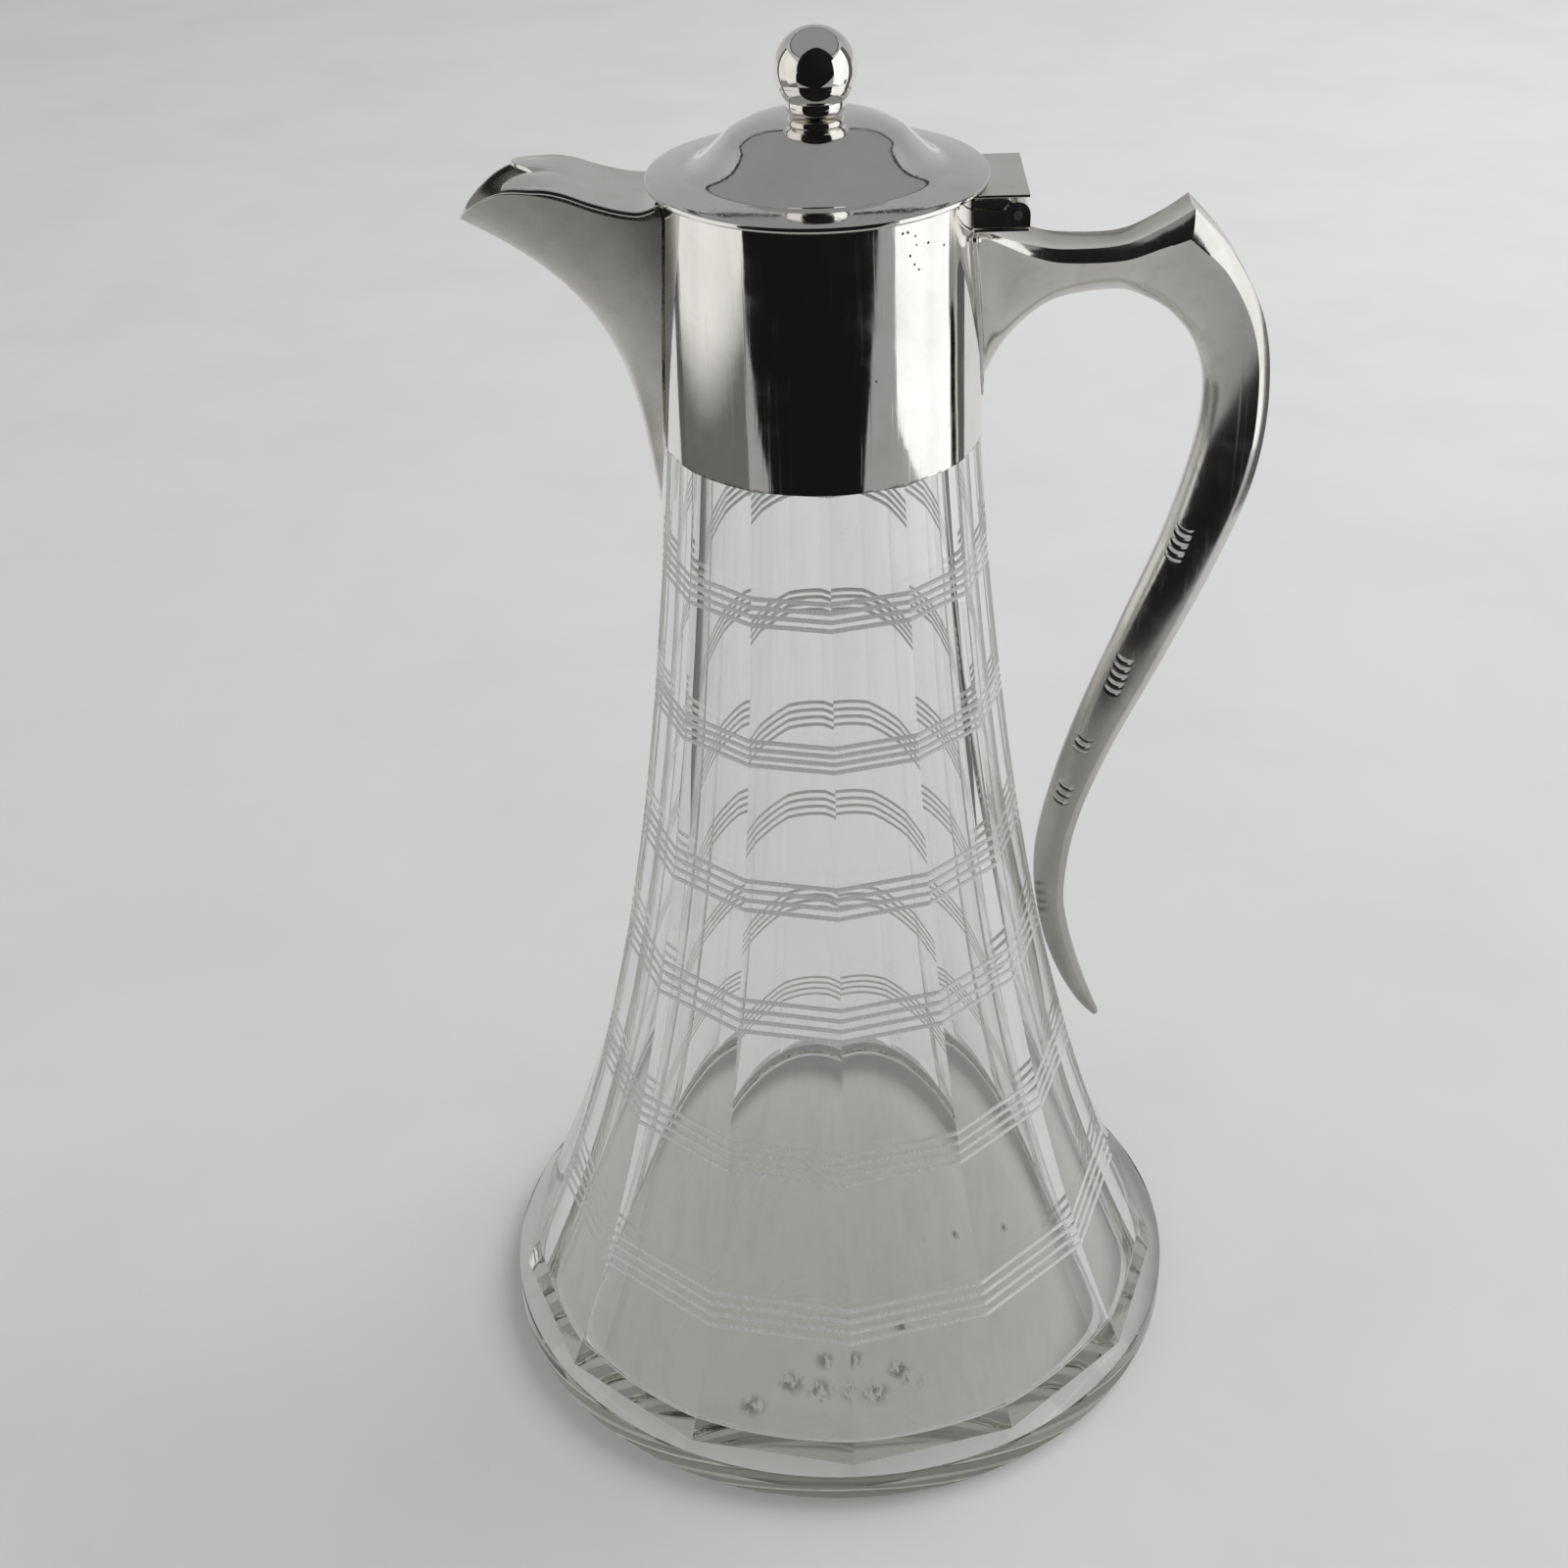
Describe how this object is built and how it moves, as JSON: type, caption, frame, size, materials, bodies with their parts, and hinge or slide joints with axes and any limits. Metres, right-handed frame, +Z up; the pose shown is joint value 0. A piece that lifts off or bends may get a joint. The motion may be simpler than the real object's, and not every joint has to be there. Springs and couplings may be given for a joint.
{
  "type": "claret jug",
  "caption": "Tall flared cut-glass pouring jug with a silver collar, beak spout, scrolled handle and a hinged domed lid with a ball knob.",
  "frame": {"origin": "centre of the glass foot's flat underside, where the jug stands", "axes": "+Z up along the jug's axis; the spout points to -X; the handle and the hinge are on +X; the hinge pin runs along Y"},
  "size_m": [0.1474, 0.14, 0.2654],
  "materials": {
    "glass": "polished lead glass with ground flat panels and thin grey-white cut lines",
    "silver": "polished silver plate with fine scratches and a faint warm tarnish",
    "pin_metal": "dull drawn wire",
    "brass": "turned, unpolished",
    "plaster": "matt set plaster"
  },
  "bodies": {
    "jug": {"glass_body": "glass", "neck_bedding": "plaster", "collar": "silver", "spout": "silver", "handle": "silver", "hinge_base_plate": "silver", "hinge_collar_leaf": "silver", "hinge_pin": "pin_metal"},
    "lid": {"lid_plate": "silver", "lid_bezel": "silver", "spout_flap": "silver", "hinge_lid_leaf": "silver", "hinge_cover_plate": "silver", "finial_neck": "silver", "finial_ball": "silver", "finial_stud": "brass", "finial_washer": "brass", "finial_nut": "brass"}
  },
  "joints": [
    {"name": "lid_hinge", "type": "hinge", "parent": "jug", "child": "lid", "pos_m": [0.0324, 0, 0.2372], "axis": [0, 1, 0], "range_deg": [0, 100]}
  ]
}
